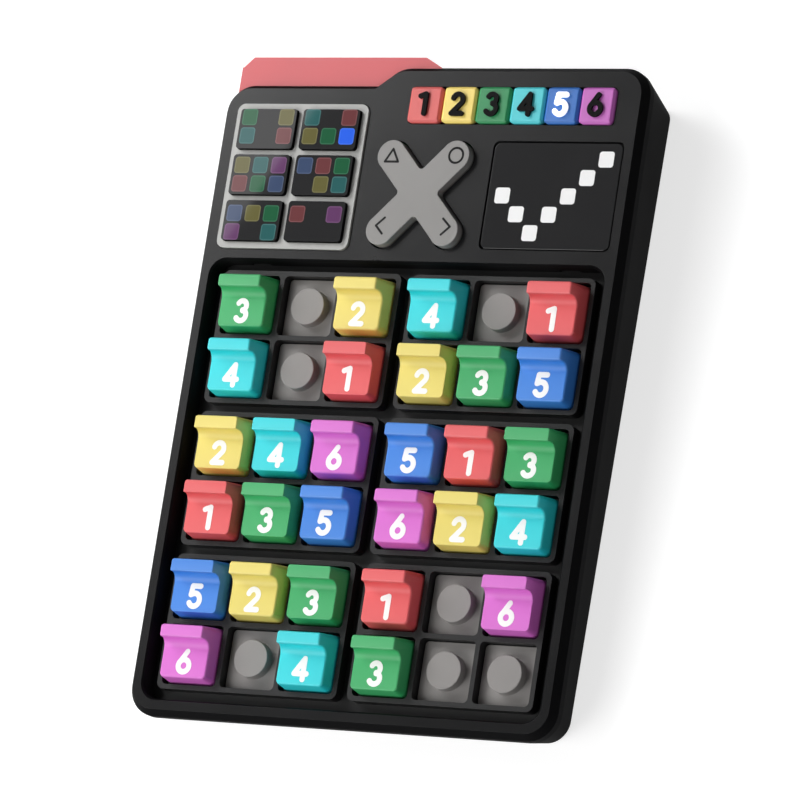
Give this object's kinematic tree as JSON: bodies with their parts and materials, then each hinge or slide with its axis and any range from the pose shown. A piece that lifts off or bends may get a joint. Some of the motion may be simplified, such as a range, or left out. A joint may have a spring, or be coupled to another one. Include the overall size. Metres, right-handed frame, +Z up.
{
  "type": "sudoku board",
  "caption": "Wedge-shaped electronic sudoku board with lift-off stepped number tiles over studded cells, a rocking cross pad, lit displays and a hinged battery door.",
  "frame": {"origin": "middle of the plan's box, on the table that the feet stand on", "axes": "+X across the board, +Y up the board towards the control panel, +Z up from the table"},
  "size_m": [0.1294, 0.1854, 0.0264],
  "materials": {
    "shell": "fine satin black moulding",
    "tab": "satin red moulding",
    "tray": "satin black moulding",
    "block": "satin black moulding",
    "stud": "matt grey silicone",
    "bezel": "satin grey moulding",
    "smoked_window": "smoked gloss",
    "lens": "smoked gloss",
    "pad": "satin grey moulding",
    "pivot": "natural nylon",
    "membrane": "silicone",
    "board": "solder mask",
    "cell_jacket": "printed foil jacket",
    "contact": "nickel plate",
    "screw": "zinc plate",
    "foot": "matt",
    "red_plastic": "satin moulding",
    "yellow_plastic": "satin moulding",
    "green_plastic": "satin moulding",
    "cyan_plastic": "satin moulding",
    "blue_plastic": "satin moulding",
    "purple_plastic": "satin moulding"
  },
  "bodies": {
    "base": {"front_shell": "shell", "back_shell": "shell", "top_tab": "tab", "play_tray": "tray", "stud_pads": "stud", "map_bezel": "bezel", "map_windows": "smoked_window", "display_lens": "lens", "rocker_membrane": "membrane", "panel_board": "board", "cell_board": "board", "batteries": "cell_jacket", "battery_contacts": "contact", "case_screws": "screw", "rubber_feet": "foot", "block_frame_1": "block", "block_frame_2": "block", "block_frame_3": "block", "block_frame_4": "block", "block_frame_5": "block", "block_frame_6": "block", "number_cap_1": "red_plastic", "number_cap_2": "yellow_plastic", "number_cap_3": "green_plastic", "number_cap_4": "cyan_plastic", "number_cap_5": "blue_plastic", "number_cap_6": "purple_plastic"},
    "rocker_pivot": {"rocker_pivot": "pivot"},
    "rocker_cap": {"rocker_cap": "pad"},
    "battery_door": {"battery_door": "shell"},
    "tile_r1c1": {"tile_r1c1": "green_plastic"},
    "tile_r1c3": {"tile_r1c3": "yellow_plastic"},
    "tile_r1c4": {"tile_r1c4": "cyan_plastic"},
    "tile_r1c6": {"tile_r1c6": "red_plastic"},
    "tile_r2c1": {"tile_r2c1": "cyan_plastic"},
    "tile_r2c3": {"tile_r2c3": "red_plastic"},
    "tile_r2c4": {"tile_r2c4": "yellow_plastic"},
    "tile_r2c5": {"tile_r2c5": "green_plastic"},
    "tile_r2c6": {"tile_r2c6": "blue_plastic"},
    "tile_r3c1": {"tile_r3c1": "yellow_plastic"},
    "tile_r3c2": {"tile_r3c2": "cyan_plastic"},
    "tile_r3c3": {"tile_r3c3": "purple_plastic"},
    "tile_r3c4": {"tile_r3c4": "blue_plastic"},
    "tile_r3c5": {"tile_r3c5": "red_plastic"},
    "tile_r3c6": {"tile_r3c6": "green_plastic"},
    "tile_r4c1": {"tile_r4c1": "red_plastic"},
    "tile_r4c2": {"tile_r4c2": "green_plastic"},
    "tile_r4c3": {"tile_r4c3": "blue_plastic"},
    "tile_r4c4": {"tile_r4c4": "purple_plastic"},
    "tile_r4c5": {"tile_r4c5": "yellow_plastic"},
    "tile_r4c6": {"tile_r4c6": "cyan_plastic"},
    "tile_r5c1": {"tile_r5c1": "blue_plastic"},
    "tile_r5c2": {"tile_r5c2": "yellow_plastic"},
    "tile_r5c3": {"tile_r5c3": "green_plastic"},
    "tile_r5c4": {"tile_r5c4": "red_plastic"},
    "tile_r5c6": {"tile_r5c6": "purple_plastic"},
    "tile_r6c1": {"tile_r6c1": "purple_plastic"},
    "tile_r6c3": {"tile_r6c3": "cyan_plastic"},
    "tile_r6c4": {"tile_r6c4": "green_plastic"}
  },
  "joints": [
    {"name": "pad_rock_rising", "type": "hinge", "parent": "base", "child": "rocker_pivot", "pos_m": [0.00161, 0.05326, 0.01908], "axis": [0.681, 0.7311, 0.0422], "range_deg": [-3, 3], "stiffness_Nm_per_rad": 0.1},
    {"name": "pad_rock_falling", "type": "hinge", "parent": "rocker_pivot", "child": "rocker_cap", "pos_m": [0.00161, 0.05326, 0.01908], "axis": [0.681, -0.7311, -0.0422], "range_deg": [-3, 3], "stiffness_Nm_per_rad": 0.1},
    {"name": "door_swing", "type": "hinge", "parent": "base", "child": "battery_door", "pos_m": [0, 0.04456, 0.00175], "axis": [-1, 0, 0], "range_deg": [0, 80]},
    {"name": "lift_r1c1", "type": "slide", "parent": "base", "child": "tile_r1c1", "axis": [0, -0.0576, 0.9983], "range_m": [0, 0.025]},
    {"name": "lift_r1c3", "type": "slide", "parent": "base", "child": "tile_r1c3", "axis": [0, -0.0576, 0.9983], "range_m": [0, 0.025]},
    {"name": "lift_r1c4", "type": "slide", "parent": "base", "child": "tile_r1c4", "axis": [0, -0.0576, 0.9983], "range_m": [0, 0.025]},
    {"name": "lift_r1c6", "type": "slide", "parent": "base", "child": "tile_r1c6", "axis": [0, -0.0576, 0.9983], "range_m": [0, 0.025]},
    {"name": "lift_r2c1", "type": "slide", "parent": "base", "child": "tile_r2c1", "axis": [0, -0.0576, 0.9983], "range_m": [0, 0.025]},
    {"name": "lift_r2c3", "type": "slide", "parent": "base", "child": "tile_r2c3", "axis": [0, -0.0576, 0.9983], "range_m": [0, 0.025]},
    {"name": "lift_r2c4", "type": "slide", "parent": "base", "child": "tile_r2c4", "axis": [0, -0.0576, 0.9983], "range_m": [0, 0.025]},
    {"name": "lift_r2c5", "type": "slide", "parent": "base", "child": "tile_r2c5", "axis": [0, -0.0576, 0.9983], "range_m": [0, 0.025]},
    {"name": "lift_r2c6", "type": "slide", "parent": "base", "child": "tile_r2c6", "axis": [0, -0.0576, 0.9983], "range_m": [0, 0.025]},
    {"name": "lift_r3c1", "type": "slide", "parent": "base", "child": "tile_r3c1", "axis": [0, -0.0576, 0.9983], "range_m": [0, 0.025]},
    {"name": "lift_r3c2", "type": "slide", "parent": "base", "child": "tile_r3c2", "axis": [0, -0.0576, 0.9983], "range_m": [0, 0.025]},
    {"name": "lift_r3c3", "type": "slide", "parent": "base", "child": "tile_r3c3", "axis": [0, -0.0576, 0.9983], "range_m": [0, 0.025]},
    {"name": "lift_r3c4", "type": "slide", "parent": "base", "child": "tile_r3c4", "axis": [0, -0.0576, 0.9983], "range_m": [0, 0.025]},
    {"name": "lift_r3c5", "type": "slide", "parent": "base", "child": "tile_r3c5", "axis": [0, -0.0576, 0.9983], "range_m": [0, 0.025]},
    {"name": "lift_r3c6", "type": "slide", "parent": "base", "child": "tile_r3c6", "axis": [0, -0.0576, 0.9983], "range_m": [0, 0.025]},
    {"name": "lift_r4c1", "type": "slide", "parent": "base", "child": "tile_r4c1", "axis": [0, -0.0576, 0.9983], "range_m": [0, 0.025]},
    {"name": "lift_r4c2", "type": "slide", "parent": "base", "child": "tile_r4c2", "axis": [0, -0.0576, 0.9983], "range_m": [0, 0.025]},
    {"name": "lift_r4c3", "type": "slide", "parent": "base", "child": "tile_r4c3", "axis": [0, -0.0576, 0.9983], "range_m": [0, 0.025]},
    {"name": "lift_r4c4", "type": "slide", "parent": "base", "child": "tile_r4c4", "axis": [0, -0.0576, 0.9983], "range_m": [0, 0.025]},
    {"name": "lift_r4c5", "type": "slide", "parent": "base", "child": "tile_r4c5", "axis": [0, -0.0576, 0.9983], "range_m": [0, 0.025]},
    {"name": "lift_r4c6", "type": "slide", "parent": "base", "child": "tile_r4c6", "axis": [0, -0.0576, 0.9983], "range_m": [0, 0.025]},
    {"name": "lift_r5c1", "type": "slide", "parent": "base", "child": "tile_r5c1", "axis": [0, -0.0576, 0.9983], "range_m": [0, 0.025]},
    {"name": "lift_r5c2", "type": "slide", "parent": "base", "child": "tile_r5c2", "axis": [0, -0.0576, 0.9983], "range_m": [0, 0.025]},
    {"name": "lift_r5c3", "type": "slide", "parent": "base", "child": "tile_r5c3", "axis": [0, -0.0576, 0.9983], "range_m": [0, 0.025]},
    {"name": "lift_r5c4", "type": "slide", "parent": "base", "child": "tile_r5c4", "axis": [0, -0.0576, 0.9983], "range_m": [0, 0.025]},
    {"name": "lift_r5c6", "type": "slide", "parent": "base", "child": "tile_r5c6", "axis": [0, -0.0576, 0.9983], "range_m": [0, 0.025]},
    {"name": "lift_r6c1", "type": "slide", "parent": "base", "child": "tile_r6c1", "axis": [0, -0.0576, 0.9983], "range_m": [0, 0.025]},
    {"name": "lift_r6c3", "type": "slide", "parent": "base", "child": "tile_r6c3", "axis": [0, -0.0576, 0.9983], "range_m": [0, 0.025]},
    {"name": "lift_r6c4", "type": "slide", "parent": "base", "child": "tile_r6c4", "axis": [0, -0.0576, 0.9983], "range_m": [0, 0.025]}
  ]
}
